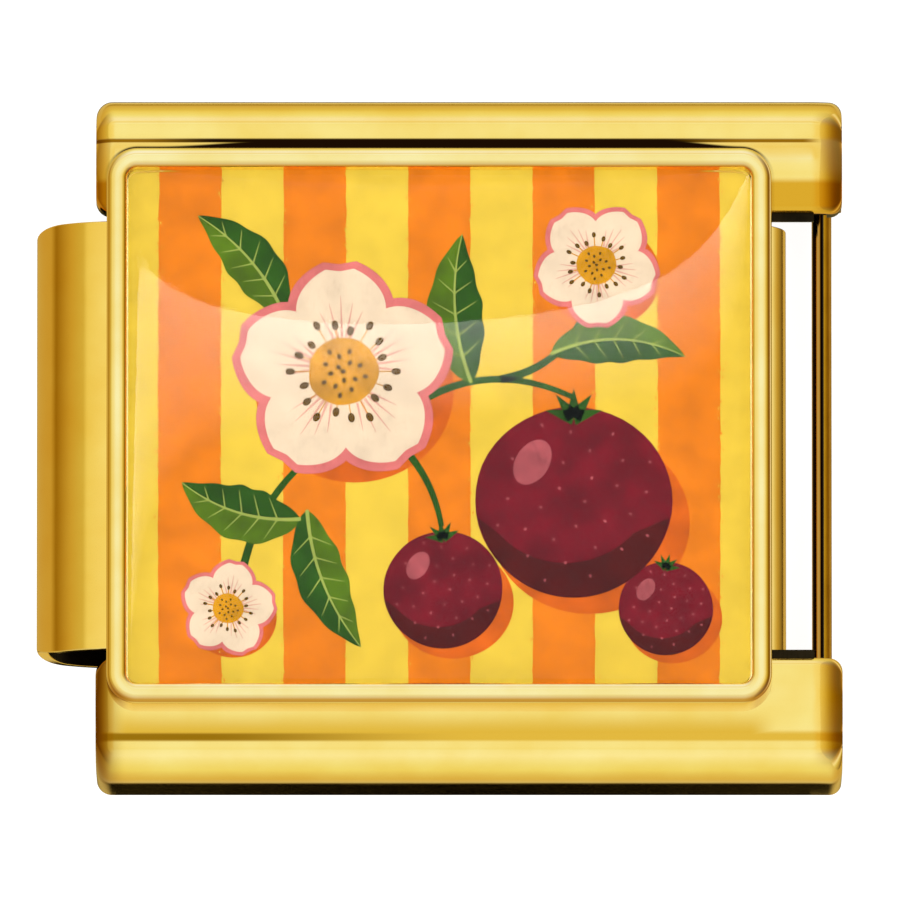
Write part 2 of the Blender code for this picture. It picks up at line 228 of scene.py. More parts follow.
# The bezel's painted shade, brown: how far its surface leans towards the picture's lower edge, and
# how much
RIM_BROWN_LEAN = (
    (-1.0, 0.0), (-0.97, 0.0), (-0.86, 1.0), (-0.60, 1.0), (-0.33, 0.5), (-0.10, 0.0), (1.0, 0.0))
RIM_BROWN = (0.60, 0.27, 0.03, 1.0)
# Inner metals: the two tones that each varies between, and its roughness
# Near-black steel inside the rails and sleeve and on the slot flanges: painted shade
HOLLOW_SHADE = ((0.010, 0.007, 0.004, 1.0), (0.030, 0.020, 0.010, 1.0), 0.35)
INNER_STEEL = ((0.50, 0.34, 0.08, 1.0), (0.66, 0.47, 0.14, 1.0), 0.16)
# The right staple's bar: the inner steel made browner and darker, as painted shade
SHADED_BAR_STEEL = ((0.50, 0.26, 0.012, 1.0), (0.64, 0.35, 0.020, 1.0), 0.30)
SPRING_STEEL = ((0.10, 0.095, 0.09, 1.0), (0.22, 0.21, 0.19, 1.0), 0.3)
# The right pin, dark, with a painted highlight where it faces up this much
PIN_DARK = (0.012, 0.005, 0.002, 1.0)
PIN_HIGHLIGHT = (0.50, 0.25, 0.05, 1.0)
PIN_HIGHLIGHT_UP = (0.925, 0.965)
PIN_HIGHLIGHT_JITTER = 0.02
PIN_ROUGHNESS = 0.12
ALONG_X = (0.06, 1.0, 1.0)
ALONG_Y = (1.0, 0.06, 1.0)
DRAWN_ALONG_Y = (1.0, 0.05, 1.0)
BRUSHED_ALONG_Y = (1.0, 0.35, 1.0)
# Painted shade of the rim on the print, at its lower and at its upper edge
PRINT_SHADE_LOW = (-3.312, -3.300)
PRINT_SHADE_HIGH = (3.352, 3.377)
PRINT_SHADE = (0.70, 0.55, 0.45, 1.0)
DARKEST_INK = 0.003
INK_GRAIN = 26000.0


def linear(shown):
    """A shown colour from 0 to 255 as linear light."""
    shares = [c / 255 for c in shown]
    return tuple(c / 12.92 if c <= 0.04045 else ((c + 0.055) / 1.055) ** 2.4 for c in shares)


def seen_in_gold(shown):
    """The light that the gold has to mirror to show that tone."""
    return tuple(c / g for c, g in zip(linear(shown), GOLD)) + (1.0,)


def arc(centre, radius, start, end, steps):
    """Points along an arc in a plane, from one angle to another, in degrees."""
    points = []
    for step in range(steps + 1):
        angle = radians(start + (end - start) * step / steps)
        points.append((centre[0] + radius * cos(angle), centre[1] + radius * sin(angle)))
    return points


def rounded_rectangle(length, width, radius, steps=FINE_CORNER):
    """The outline of a rectangle with round corners, counter-clockwise."""
    outline = []
    for turn, (side_x, side_y) in enumerate(((1, -1), (1, 1), (-1, 1), (-1, -1))):
        centre = (side_x * (length / 2 - radius), side_y * (width / 2 - radius))
        outline += arc(centre, radius, -90 + 90 * turn, 90 * turn, steps)
    return outline


def add_object(name, data):
    """A new object in the scene."""
    made = bpy.data.objects.new(name, data)
    bpy.context.scene.collection.objects.link(made)
    return made


def put(name, mesh, material, body, slot, *nodes):
    """Adds a finished mesh as a piece that rides on a body and stands for CAD nodes."""
    piece = add_object(name, mesh)
    if mesh.materials:
        mesh.materials[0] = material
    else:
        mesh.materials.append(material)
    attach(piece, body)
    if nodes:
        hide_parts(*nodes)
    return piece


def to_mesh(name, built, smooth_angle=SMOOTH_ANGLE):
    """Turns a bmesh in millimetres into a smooth mesh in metres."""
    bmesh.ops.recalc_face_normals(built, faces=built.faces[:])
    bmesh.ops.scale(built, vec=(MM, MM, MM), verts=built.verts[:])
    mesh = bpy.data.meshes.new(name)
    built.to_mesh(mesh)
    built.free()
    mesh.shade_smooth()
    mesh.set_sharp_from_angle(angle=radians(smooth_angle))
    return mesh


def loft(name, rings):
    """A closed body through rings of equally many points, with a cap at each end."""
    built = bmesh.new()
    rows = [[built.verts.new(point) for point in ring] for ring in rings]
    count = len(rows[0])
    for lower, upper in zip(rows, rows[1:]):
        for i in range(count):
            j = (i + 1) % count
            built.faces.new((lower[i], lower[j], upper[j], upper[i]))
    built.faces.new(rows[0])
    built.faces.new(rows[-1])
    return to_mesh(name, built)


def even_normals(piece, weight=100):
    """Keeps flat stretches flat beside their fillets."""
    modifier = piece.modifiers.new("even normals", "WEIGHTED_NORMAL")
    modifier.keep_sharp = True
    modifier.weight = weight


def break_edges(piece, width=EDGE_BREAK, angle=EDGE_ANGLE):
    """Rounds off the sharp edges that a file and the plating leave soft."""
    modifier = piece.modifiers.new("broken edges", "BEVEL")
    modifier.width = width * MM
    modifier.segments = 3
    modifier.limit_method = "ANGLE"
    modifier.angle_limit = radians(angle)
    modifier.harden_normals = True


# Materials


def new_material(name):
    """An empty material with its Principled shader."""
    material = bpy.data.materials.new(name)
    material.use_nodes = True
    tree = material.node_tree
    return material, tree, tree.nodes["Principled BSDF"]


def feed(tree, node, inputs):
    """Feeds inputs, given by name or number, with sockets or fixed values."""
    for key, source in inputs.items():
        if isinstance(source, bpy.types.NodeSocket):
            tree.links.new(source, node.inputs[key])
        else:
            node.inputs[key].default_value = source


def add_node(tree, kind, **inputs):
    """A node with some inputs fed; an input's spaces are written as underscores."""
    node = tree.nodes.new(kind)
    feed(tree, node, {name.replace("_", " "): source for name, source in inputs.items()})
    return node


def coordinates(tree, kind):
    """A surface's or a direction's own coordinates."""
    return add_node(tree, "ShaderNodeTexCoord").outputs[kind]


def split(tree, vector):
    """A vector's X, Y and Z."""
    return add_node(tree, "ShaderNodeSeparateXYZ", Vector=vector).outputs[:]


def object_point(tree, stretch=(1.0, 1.0, 1.0)):
    """Object coordinates, stretched along an axis for drawn or brushed marks."""
    point = coordinates(tree, "Object")
    return add_node(tree, "ShaderNodeMapping", Vector=point, Scale=stretch).outputs["Vector"]


def millimetres(tree):
    """Object coordinates X, Y and Z in millimetres."""
    return split(tree, object_point(tree, (1 / MM, 1 / MM, 1 / MM)))


def noise(tree, vector, scale, detail=4.0, roughness=0.55):
    """A noise texture's value."""
    return add_node(tree, "ShaderNodeTexNoise", Vector=vector, Scale=scale, Detail=detail,
                    Roughness=roughness).outputs["Fac"]


def ramp(tree, value, stops):
    """A colour ramp from stops of position and colour."""
    node = add_node(tree, "ShaderNodeValToRGB", Fac=value)
    while len(node.color_ramp.elements) < len(stops):
        node.color_ramp.elements.new(0.5)
    for element, (position, colour) in zip(node.color_ramp.elements, stops):
        element.position = position
        element.color = colour
    return node.outputs["Color"]


def grey_ramp(tree, value, low, high):
    """A ramp between two greys, each a position and a tone."""
    return ramp(tree, value, [(position, grey(tone)) for position, tone in (low, high)])


def grey(value):
    """A grey as a ramp colour."""
    return (value, value, value, 1.0)


def blend_colour(tree, factor, first, second, mode="MIX"):
    """Mixes two colours, each a socket or a fixed colour."""
    node = tree.nodes.new("ShaderNodeMix")
    node.data_type = "RGBA"
    node.blend_type = mode
    feed(tree, node, {0: factor, 6: first, 7: second})
    return node.outputs[2]


def maths(tree, operation, *sources):
    """One arithmetic step on sockets or numbers."""
    node = tree.nodes.new("ShaderNodeMath")
    node.operation = operation
    feed(tree, node, dict(enumerate(sources)))
    return node.outputs[0]


def fade(tree, value, start, end):
    """One before the start and nothing past the end, eased between."""
    node = add_node(tree, "ShaderNodeMapRange", Value=value, From_Min=start, From_Max=end,
                    To_Min=1.0, To_Max=0.0)
    node.interpolation_type = "SMOOTHSTEP"
    return node.outputs["Result"]


def rise(tree, value, start, end):
    """Nothing before the start and one past the end, eased between."""
    return maths(tree, "SUBTRACT", 1.0, fade(tree, value, start, end))


def product(tree, *factors):
    """All factors multiplied."""
    result = factors[0]
    for factor in factors[1:]:
        result = maths(tree, "MULTIPLY", result, factor)
    return result


def band(tree, value, *ends):
    """One between two places and nothing beyond them, eased at both."""
    return product(tree, rise(tree, value, *ends[:2]), fade(tree, value, *ends[2:]))


def relief(tree, height, strength, distance):
    """The normal of a surface with fine relief."""
    return add_node(tree, "ShaderNodeBump", Height=height, Strength=strength,
                    Distance=distance).outputs["Normal"]


def painted_rail_shade(tree, colour):
    """The rails' plate with painted shade: dark lines beside the bezel and in the creases, and
    darker stretches.
    """
    x, y, _ = millimetres(tree)
    across, out = maths(tree, "ABSOLUTE", x), maths(tree, "ABSOLUTE", y)
    below = fade(tree, y, *HALVES)
    above = maths(tree, "SUBTRACT", 1.0, below)
    corner = (TRAY_HIGH.x - BEZEL_CORNER, TRAY_HIGH.y - BEZEL_CORNER + BEZEL_LIFT)
    past = [maths(tree, "MAXIMUM", maths(tree, "SUBTRACT", value, start), 0.0)
            for value, start in zip((across, out), corner)]
    squares = maths(tree, "ADD", *(maths(tree, "POWER", value, 2.0) for value in past))
    from_bezel = maths(tree, "SUBTRACT", maths(tree, "SQRT", squares), BEZEL_CORNER)
    taper = maths(tree, "MAXIMUM", fade(tree, x, *CORNER_LINE_LEFT),
                  rise(tree, x, *CORNER_LINE_RIGHT))
    widened = maths(tree, "MULTIPLY_ADD", taper, CORNER_LINE_THIN, from_bezel)
    before_ears = fade(tree, across, *CORNER_LINE_END)
    line = product(tree, fade(tree, widened, *CORNER_LINE), before_ears, above)
    upper = product(tree, band(tree, out, *UPPER_CREASE), fade(tree, across, *UPPER_CREASE_END),
                    above)
    darkest = product(tree, upper, fade(tree, across, *UPPER_CREASE_DARK))
    edge = product(tree, rise(tree, out, *OUTER_EDGE), above)
    stretch_far = maths(tree, "MAXIMUM", before_ears, rise(tree, out, *SHADED_STRETCH_OUTER))
    # The lower rail's darker stretch is painted shade
    shaded_stretch = product(tree, band(tree, out, *SHADED_STRETCH, *CREASE_LINE[2:]), below, stretch_far)
    crease = product(tree, band(tree, out, *CREASE_LINE), fade(tree, x, *CREASE_LINE_FADE), below)
    inner = product(tree, fade(tree, out, *INNER_STRIP), above)
    end = product(tree, fade(tree, x, *SHADED_LEFT_END), below)
    for share, tone in (
            (inner, PLATE_DEEP), (shaded_stretch, PLATE_SHADED), (crease, PLATE_BROWN), (end, PLATE_BROWN),
            (upper, PLATE_BROWN), (edge, PLATE_BROWN), (darkest, PLATE_BLACK), (line, PLATE_BLACK)):
        colour = blend_colour(tree, share, colour, tone)
    return colour


def painted_rim_shade(tree, colour):
    """The bezel's plate with painted shade, browner where it turns over towards the picture's lower
    edge.
    """
    _, y, _ = split(tree, coordinates(tree, "Normal"))
    lean = maths(tree, "MULTIPLY_ADD", y, 0.5, 0.5)
    stops = [((1 + side) / 2, grey(value)) for side, value in RIM_BROWN_LEAN]
    return blend_colour(tree, ramp(tree, lean, stops), colour, RIM_BROWN)


def plated_gold(name, tint=GOLD, polish=0.07, marks=(1.0, 1.0, 1.0), toned=None):
    """Polished gold plate: cloudy thickness, fine polishing marks and a faint ripple."""
    material, tree, shader = new_material(name)
    point = object_point(tree)
    cloud = noise(tree, point, scale=900.0, detail=3.0)
    deep = tuple(c * d for c, d in zip(tint, (0.96, 0.90, 0.72))) + (1.0,)
    pale = tuple(min(1.0, c * d) for c, d in zip(tint, (1.0, 1.03, 1.15))) + (1.0,)
    colour = ramp(tree, cloud, [(0.3, deep), (0.7, pale)])
    scuff = noise(tree, object_point(tree, marks), scale=14000.0, detail=6.0, roughness=0.7)
    ripple = noise(tree, point, scale=1500.0, detail=2.0)
    height = blend_colour(tree, 0.06, ripple, scuff)
    feed(tree, shader, {
        "Base Color": toned(tree, colour) if toned else colour,
        "Roughness": grey_ramp(tree, scuff, (0.35, polish), (0.75, polish + 0.09)),
        "Metallic": 1.0,
        "Normal": relief(tree, height, strength=0.10, distance=0.000012)})
    return material


def plain_steel(name, dark, light, roughness):
    """Spring or inner steel: drawn marks along Y and a little tarnish."""
    material, tree, shader = new_material(name)
    tarnish = noise(tree, object_point(tree), scale=1800.0, detail=5.0)
    drawn = object_point(tree, DRAWN_ALONG_Y)
    marks = noise(tree, drawn, scale=30000.0, detail=4.0, roughness=0.7)
    feed(tree, shader, {
        "Base Color": ramp(tree, tarnish, [(0.3, dark), (0.7, light)]),
        "Roughness": grey_ramp(tree, marks, (0.3, roughness), (0.7, roughness + 0.16)),
        "Metallic": 1.0,
        "Normal": relief(tree, marks, strength=0.2, distance=0.000004)})
    return material


def painted_pin_highlight(name):
    """Dark steel of a round pin, near black on its sides, with a painted highlight along its top.
    """
    material, tree, shader = new_material(name)
    *_, up = split(tree, coordinates(tree, "Normal"))
    marks = noise(tree, object_point(tree, DRAWN_ALONG_Y), scale=20000.0)
    facing_up = maths(tree, "MULTIPLY_ADD", marks, PIN_HIGHLIGHT_JITTER, up)
    feed(tree, shader, {
        "Base Color": blend_colour(tree, fade(tree, facing_up, *PIN_HIGHLIGHT_UP), PIN_HIGHLIGHT, PIN_DARK),
        "Metallic": 1.0, "Roughness": PIN_ROUGHNESS})
    return material


def printed(name, shown, depth):
    """Printed ink of one colour with dry-brush grain, soft mottling and the rim's painted shade."""
    material, tree, shader = new_material(name)
    point = object_point(tree)
    colour = tuple(max(DARKEST_INK, c - RESIN_SHEEN) / INK_GAIN for c in linear(shown))
    darker = tuple(c * (1 - depth) for c in colour) + (1.0,)
    lighter = tuple(min(1.0, c * (1 + depth)) for c in colour) + (1.0,)
    soft = ramp(tree, noise(tree, point, scale=2600.0), [(0.32, darker), (0.68, lighter)])
    brushed = object_point(tree, BRUSHED_ALONG_Y)
    bristles = noise(tree, brushed, scale=INK_GRAIN, detail=5.0, roughness=0.75)
    speck = grey_ramp(tree, bristles, (0.33, 1 - depth), (0.47, 1.0))
    ink = blend_colour(tree, 1.0, soft, speck, "MULTIPLY")
    # Painted shade beside the rim
    _, y, _ = millimetres(tree)
    beside_rim = maths(tree, "MAXIMUM", fade(tree, y, *PRINT_SHADE_LOW),
                       rise(tree, y, *PRINT_SHADE_HIGH))
    shaded = blend_colour(tree, 1.0, ink, PRINT_SHADE, "MULTIPLY")
    feed(tree, shader, {
        "Base Color": blend_colour(tree, beside_rim, ink, shaded),
        "Roughness": 0.55, "Specular IOR Level": 0.05,
        "Normal": relief(tree, noise(tree, point, INK_GRAIN), strength=0.15, distance=0.000002)})
    return material


def clear_resin(name, bending=RESIN_IOR):
    """Clear resin: faintly wavy glass that lets the lamps' light through to the print."""
    material, tree, shader = new_material(name)
    point = object_point(tree)
    waves = noise(tree, point, scale=500.0, detail=2.0)
    dust = noise(tree, point, scale=3000.0)
    tint = ramp(tree, waves, [(0.3, (1.0, 0.995, 0.975, 1.0)), (0.7, (1.0, 1.0, 0.99, 1.0))])
    feed(tree, shader, {
        "Transmission Weight": 1.0, "IOR": bending, "Base Color": tint,
        "Roughness": grey_ramp(tree, dust, (0.3, 0.012), (0.7, 0.035)),
        "Normal": relief(tree, waves, strength=0.05, distance=0.00001)})
    clear = tree.nodes.new("ShaderNodeBsdfTransparent")
    rays = tree.nodes.new("ShaderNodeLightPath")
    mix = tree.nodes.new("ShaderNodeMixShader")
    feed(tree, mix, {0: rays.outputs["Is Shadow Ray"], 1: shader.outputs["BSDF"],
                     2: clear.outputs["BSDF"]})
    feed(tree, tree.nodes["Material Output"], {"Surface": mix.outputs["Shader"]})
    return material


# Camera, light and floor


def aim_camera():
    """The camera looks down on the link from slightly towards the picture's lower edge."""
    data = bpy.data.cameras.new("camera")
    data.lens, data.sensor_width = CAMERA_LENS, SENSOR
    data.clip_start, data.clip_end = CLIPPING
    camera = add_object("camera", data)
    tilt = radians(CAMERA_TILT)
    distance = CAMERA_LENS / SENSOR * PHOTO_SIDE * PIXEL * MM
    back = Vector((0.0, -sin(tilt), cos(tilt)))
    up = Vector((0.0, cos(tilt), sin(tilt)))
    right = Vector((1.0, 0.0, 0.0))
    middle = PHOTO_SIDE / 2
    aim = Vector((0.0, 0.0, OBJECT_MIDDLE_Z * MM))
    aim += right * (middle - PHOTO_CENTRE[0]) * PIXEL * MM
    aim -= up * (middle - PHOTO_CENTRE[1]) * PIXEL * MM
    camera.location = aim + back * distance
    camera.rotation_euler = (tilt, 0.0, 0.0)
    bpy.context.scene.camera = camera


def studio_surroundings():
    """What the gold mirrors: light overhead, browns and golds around. The backdrop is white."""
    world = bpy.data.worlds.new("studio")
    bpy.context.scene.world = world
    world.use_nodes = True
    tree = world.node_tree
    tree.nodes.clear()
    x, y, z = split(tree, coordinates(tree, "Generated"))
    level = maths(tree, "MULTIPLY_ADD", z, 0.5, 0.5)

    def side(stops):
        tones = [((1 + height) / 2, seen_in_gold(tone)) for height, tone in stops]
        return ramp(tree, level, tones)

    across = blend_colour(tree, maths(tree, "GREATER_THAN", y, SIDE_FROM), side(SOUTH), side(NORTH))
    along = blend_colour(tree, maths(tree, "GREATER_THAN", x, SIDE_FROM), side(WEST), side(EAST))
    square_x, square_y = maths(tree, "POWER", x, 2.0), maths(tree, "POWER", y, 2.0)
    both = maths(tree, "MULTIPLY_ADD", square_y, ALONG_WEIGHT, square_x)
    mirrored = blend_colour(tree, maths(tree, "DIVIDE", square_x, both), across, along)
    rays = tree.nodes.new("ShaderNodeLightPath")
    shown = blend_colour(tree, rays.outputs["Is Camera Ray"], mirrored, grey(1.0))
    background = add_node(tree, "ShaderNodeBackground", Color=shown)
    add_node(tree, "ShaderNodeOutputWorld", Surface=background.outputs["Background"])
    world.cycles_visibility.diffuse = False
    world.cycles_visibility.transmission = False


def add_overhead_lamp():
    """One broad soft lamp overhead for print and table, which isn't mirrored."""
    data = bpy.data.lights.new("overhead", "SUN")
    data.energy = LAMP_POWER
    data.angle = radians(LAMP_WIDTH)
    lamp = add_object("overhead", data)
    lamp.rotation_euler = (*(radians(lean) for lean in LAMP_LEAN), 0.0)
    lamp.visible_glossy = False


def add_strip_light():
    """A long soft lamp that only the resin mirrors, brightest along its far edge."""
    data = bpy.data.lights.new("strip", "AREA")
    data.shape = "RECTANGLE"
    low, high = (tan(radians(angle)) * STRIP_DISTANCE for angle in STRIP_ANGLES)
    data.size, data.size_y = STRIP_LENGTH, high - low
    data.energy = STRIP_POWER
    data.use_nodes = True
    tree = data.node_tree
    place = tree.nodes.new("ShaderNodeNewGeometry")
    _, from_near, _ = split(tree, place.outputs["Parametric"])
    strength = grey_ramp(tree, from_near, (0.0, 0.0), (1.0, 1.0))
    feed(tree, tree.nodes["Emission"], {"Strength": strength})
    lamp = add_object("strip", data)
    lamp.location = (0.0, (low + high) / 2, STRIP_DISTANCE)
    lamp.rotation_euler = (0.0, 0.0, radians(STRIP_TURN))
    lamp.visible_camera = False
    lit = bpy.data.collections.new("lit by the strip")
    lit.objects.link(bpy.data.objects["resin_dome"])
    lamp.light_linking.receiver_collection = lit


def add_floor():
    """A plain white light table."""
    built = bmesh.new()
    bmesh.ops.create_grid(built, x_segments=2, y_segments=2, size=TABLE_HALF)
    mesh = to_mesh("floor", built)
    floor = add_object("floor", mesh)
    material, tree, shader = new_material("white light table")
    paper = noise(tree, object_point(tree), scale=400.0, detail=3.0)
    low, high = TABLE_GREYS
    feed(tree, shader, {
        "Base Color": grey_ramp(tree, paper, (0.3, low), (0.7, high)), "Roughness": 0.9,
        "Specular IOR Level": 0.0, "Emission Color": grey(1.0), "Emission Strength": TABLE_GLOW})
    mesh.materials.append(material)
    floor.visible_glossy = False


# Metal pieces


def rail_profile():
    """A rail's section in Y and Z: stepped inner side, crowned top, crease, bead and outer wall."""
    inner, edge, step = RAIL_INNER, RAIL_HIGH.y, RAIL_HEIGHT / 2
    profile = [(BACK_FLANGE_INNER, 0.0), (BACK_FLANGE_INNER, step), (inner, step)]
    round_top = RAIL_HEIGHT - RAIL_TOP_LINE[0][1]
    corner = (inner + RAIL_INNER_ROUND, round_top - RAIL_INNER_ROUND)
    profile += arc(corner, RAIL_INNER_ROUND, 180, 90, FINE_FILLET)
    profile += [(inner + out, RAIL_HEIGHT - down) for out, down in RAIL_TOP_LINE[1:]]
    for turn in range(BEAD_STEPS + 1):
        angle = radians(90 - 90 * turn / BEAD_STEPS)
        across = edge - BEAD_ROUND_WIDTH * (1 - cos(angle))
        up = (BEAD_ROUND_TOP - BEAD_ROUND_BOTTOM) * sin(angle)
        profile.append((across, BEAD_ROUND_BOTTOM + up))
    profile += arc((edge - RAIL_BACK_ROUND, RAIL_BACK_ROUND), RAIL_BACK_ROUND, 0, -90, FINE_FILLET)
    return profile


def corner_inset(along, radius):
    """How far a round corner has drawn in at a distance from the rail's end."""
    return 0.0 if along >= radius else radius - sqrt(radius ** 2 - (radius - along) ** 2)


def rail_rings(side):
    """Sections along the rail: the top falls towards each end and the corners draw in."""
    middle = (RAIL_INNER + RAIL_HIGH.y) / 2
    half = RAIL_HIGH.y - middle
    rings = []
    ends = ((RAIL_LOW.x, 1, LEFT_END), (RAIL_HIGH.x, -1, RIGHT_END))
    for end, direction, (reach, fall, corner) in ends:
        stations = []
        for share in END_STATIONS:
            along = share * reach
            height = RAIL_HEIGHT - fall * (1 - share) ** 2
            narrow = (half - corner_inset(along, corner)) / half
            ring = []
            for y, z in rail_profile():
                across = side * (middle + (y - middle) * narrow)
                ring.append((end + direction * along, across, z * height / RAIL_HEIGHT))
            stations.append(ring)
        rings += stations if direction > 0 else stations[::-1]
    return rings


def prism(name, outline, low_y, high_y):
    """A straight body across Y from an outline in X and Z."""
    return loft(name, [[(x, y, z) for x, z in outline] for y in (low_y, high_y)])


def hollowed(name, mesh, cutter_mesh):
    """A mesh with another cut out of it."""
    shape, cutter = add_object(name, mesh), add_object(f"{name}_cutter", cutter_mesh)
    cut = shape.modifiers.new("hollow", "BOOLEAN")
    cut.operation = "DIFFERENCE"
    cut.object = cutter
    bpy.context.view_layer.update()
    ready = shape.evaluated_get(bpy.context.evaluated_depsgraph_get())
    result = bpy.data.meshes.new_from_object(ready)
    result.name = name
    for thing in (shape, cutter):
        bpy.data.objects.remove(thing)
    result.shade_smooth()
    result.set_sharp_from_angle(angle=radians(SMOOTH_ANGLE))
    return result


def add_rail(name, side, material, hollow_shade):
    """One stamped rail: skin, near-black painted shade inside, open ends and the flange beside the
    slot.
    """
    left, right = RAIL_LOW.x, RAIL_HIGH.x
    roof, wall = RAIL_HEIGHT - RAIL_ROOF, RAIL_HIGH.y - RAIL_WALL
    hollow = [
        (left - CUTTER_PAST, SHEET), (right + CUTTER_PAST, SHEET),
        (right + CUTTER_PAST, LIP_BOTTOM), (right - SHEET, LIP_BOTTOM), (right - SHEET, roof),
        (left + SHEET, roof), (left + SHEET, LIP_BOTTOM), (left - CUTTER_PAST, LIP_BOTTOM)]
    depth = sorted((side * (RAIL_INNER - CUTTER_PAST), side * wall))
    cutter = prism(f"{name}_hollow", hollow, *depth)
    mesh = hollowed(f"{name}_plated", loft(name, rail_rings(side)), cutter)
    mesh.materials.clear()
    mesh.materials.append(material)
    mesh.materials.append(hollow_shade)
    # Faces inside the hollow are near black: painted shade
    for face in mesh.polygons:
        middle = face.center / MM
        level = SHEET - SLACK <= middle.z <= roof + SLACK
        if level and abs(middle.y) <= wall + SLACK:
            face.material_index = 1
    piece = put(f"{name}_plated", mesh, material, "link", "gold_rail", name)
    break_edges(piece)
    even_normals(piece, weight=50)
    # The flange beside the slot is near black: painted shade
    x_low, x_high, z_low, z_high = SLOT_FLANGE
    outline = [(x_low, z_low), (x_high, z_low), (x_high, z_high), (x_low, z_high)]
    ends = sorted((side * RAIL_LOW.y, side * (RAIL_INNER + SLOT_FLANGE_OVERLAP)))
    strip = prism(f"{name}_flange", outline, *ends)
    flange = put(f"{name}_slot_flange", strip, hollow_shade, "link", "gold_rail")
    break_edges(flange, FLANGE_BREAK)
    even_normals(flange)


def rim_drop(share, depth):
    """How far the rim has fallen at a share of its rise towards the crest."""
    return depth * (1 - (1 - share ** RIM_FULLNESS) ** (1 / RIM_FULLNESS))


def add_bezel(material):
    """The tray: outer wall, round rim, inner wall and floor."""
    length, width = TRAY_HIGH.x - TRAY_LOW.x, TRAY_HIGH.y - TRAY_LOW.y
    top = TRAY_HIGH.z
    steps = [(FOOT_BREAK, TRAY_LOW.z), (0.0, TRAY_LOW.z + FOOT_BREAK)]
    for step in range(RIM_STEPS + 1):
        share = cos(pi / 2 * step / RIM_STEPS)
        steps.append((RIM_CREST * (1 - share), top - rim_drop(share, RIM_OUTER_DROP)))
    for step in range(1, RIM_STEPS + 1):
        share = sin(pi / 2 * step / RIM_STEPS)
        inset = RIM_CREST + (RIM - RIM_CREST) * share
        steps.append((inset, top - rim_drop(share, RIM_INNER_DROP)))
    steps.append((RIM, TRAY_LOW.z + TRAY_FLOOR))
    rings = []
    for inset, z in steps:
        outline = rounded_rectangle(length - 2 * inset, width - 2 * inset, BEZEL_CORNER - inset)
        rings.append([(x, y, z) for x, y in outline])
    put("bezel", loft("bezel", rings), material, "link", "gold_bezel", "tray")


def add_sleeve(material, hollow_shade):
    """The rolled sleeve with its round hook edge, seam and a near-black inside, which is painted
    shade.
    """
    outer = (SLEEVE_HIGH.z - SLEEVE_LOW.z) / 2
    radius = outer - SLEEVE_WALL / 2
    axis_z = (SLEEVE_HIGH.z + SLEEVE_LOW.z) / 2
    left, right = SLEEVE_LOW.x + outer, SLEEVE_HIGH.x - outer
    lip = 270 - degrees(asin((left - HOOK_LIP) / radius))
    path = arc((left, axis_z), radius, lip, 90, FINE_ARC)
    path += arc((right, axis_z), radius, 90, -90, FINE_ARC)
    path.append((SEAM_END, axis_z - radius))
    built = bmesh.new()
    rows = []
    for x, z in path:
        past = min(1.0, max(0.0, (x - SLEEVE_LOW.x - SLEEVE_WALL / 2) / HOOK_CORNER_REACH))
        reach = SLEEVE_HIGH.y - HOOK_CORNER_INSET * (1 - sqrt(1 - (1 - past) ** 2))
        rows.append([built.verts.new((x, y, z)) for y in (-reach, reach)])
    for first, second in zip(rows, rows[1:]):
        built.faces.new((first[0], first[1], second[1], second[0]))
    mesh = to_mesh("sleeve_rolled", built)
    piece = put("sleeve_rolled", mesh, material, "hook_sleeve", "gold_sleeve", "sleeve")
    wall = piece.modifiers.new("wall", "SOLIDIFY")
    wall.thickness = SLEEVE_WALL * MM
    wall.offset = 0.0
    wall.use_even_offset = True
    # Its inner wall takes the near-black steel: painted shade
    piece.data.materials.append(hollow_shade)
    wall.material_offset = 1
    break_edges(piece, SLEEVE_BREAK)
    even_normals(piece)


def soften(piece):
    """Breaks a small inner piece's edges."""
    break_edges(piece, INNER_BREAK, INNER_ANGLE)
    even_normals(piece)


def add_softened(node, name, material, body, slot):
    """A small inner piece: its solid's own form, with softened edges."""
    built = bmesh.new()
    built.from_mesh(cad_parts[node].data)
    bmesh.ops.remove_doubles(built, verts=built.verts[:], dist=1e-8)
    bmesh.ops.scale(built, vec=(1 / MM, 1 / MM, 1 / MM), verts=built.verts[:])
    bmesh.ops.dissolve_limit(
        built, angle_limit=radians(1), verts=built.verts[:], edges=built.edges[:])
    soften(put(name, to_mesh(name, built, INNER_SMOOTH_ANGLE), material, body, slot, node))


def add_round_pin(node, name, material, body, slot):
    """A finely round cross pin with softened ends."""
    low, high = box_mm(node)
    centre, radius = ((low.x + high.x) / 2, (low.z + high.z) / 2), (high.x - low.x) / 2
    outline = arc(centre, radius, 0, 360, PIN_SIDES)[:-1]
    soften(put(name, prism(name, outline, low.y, high.y), material, body, slot, node))


# Printed picture: stripes, leaves, berries and blossoms

# Each ink: its shown colour and how much it mottles
PAINTS = {
    "yellow": ((245, 210, 78), 0.07),
    "orange": ((243, 136, 44), 0.13),
    "leaf": ((92, 122, 38), 0.30),
    "leaf_dark": ((58, 92, 34), 0.30),
    "leaf_rib": ((168, 184, 92), 0.12),
    "plum": ((122, 38, 52), 0.26),
    "plum_dark": ((88, 24, 42), 0.26),
    "plum_light": ((178, 92, 98), 0.30),
    "petal": ((250, 226, 196), 0.08),
    "petal_edge": ((232, 128, 126), 0.16),
    "petal_vein": ((240, 178, 160), 0.14),
    "pollen": ((226, 160, 28), 0.28),
    "pollen_dark": ((112, 84, 30), 0.24),
    "shade": ((224, 108, 34), 0.22),
}
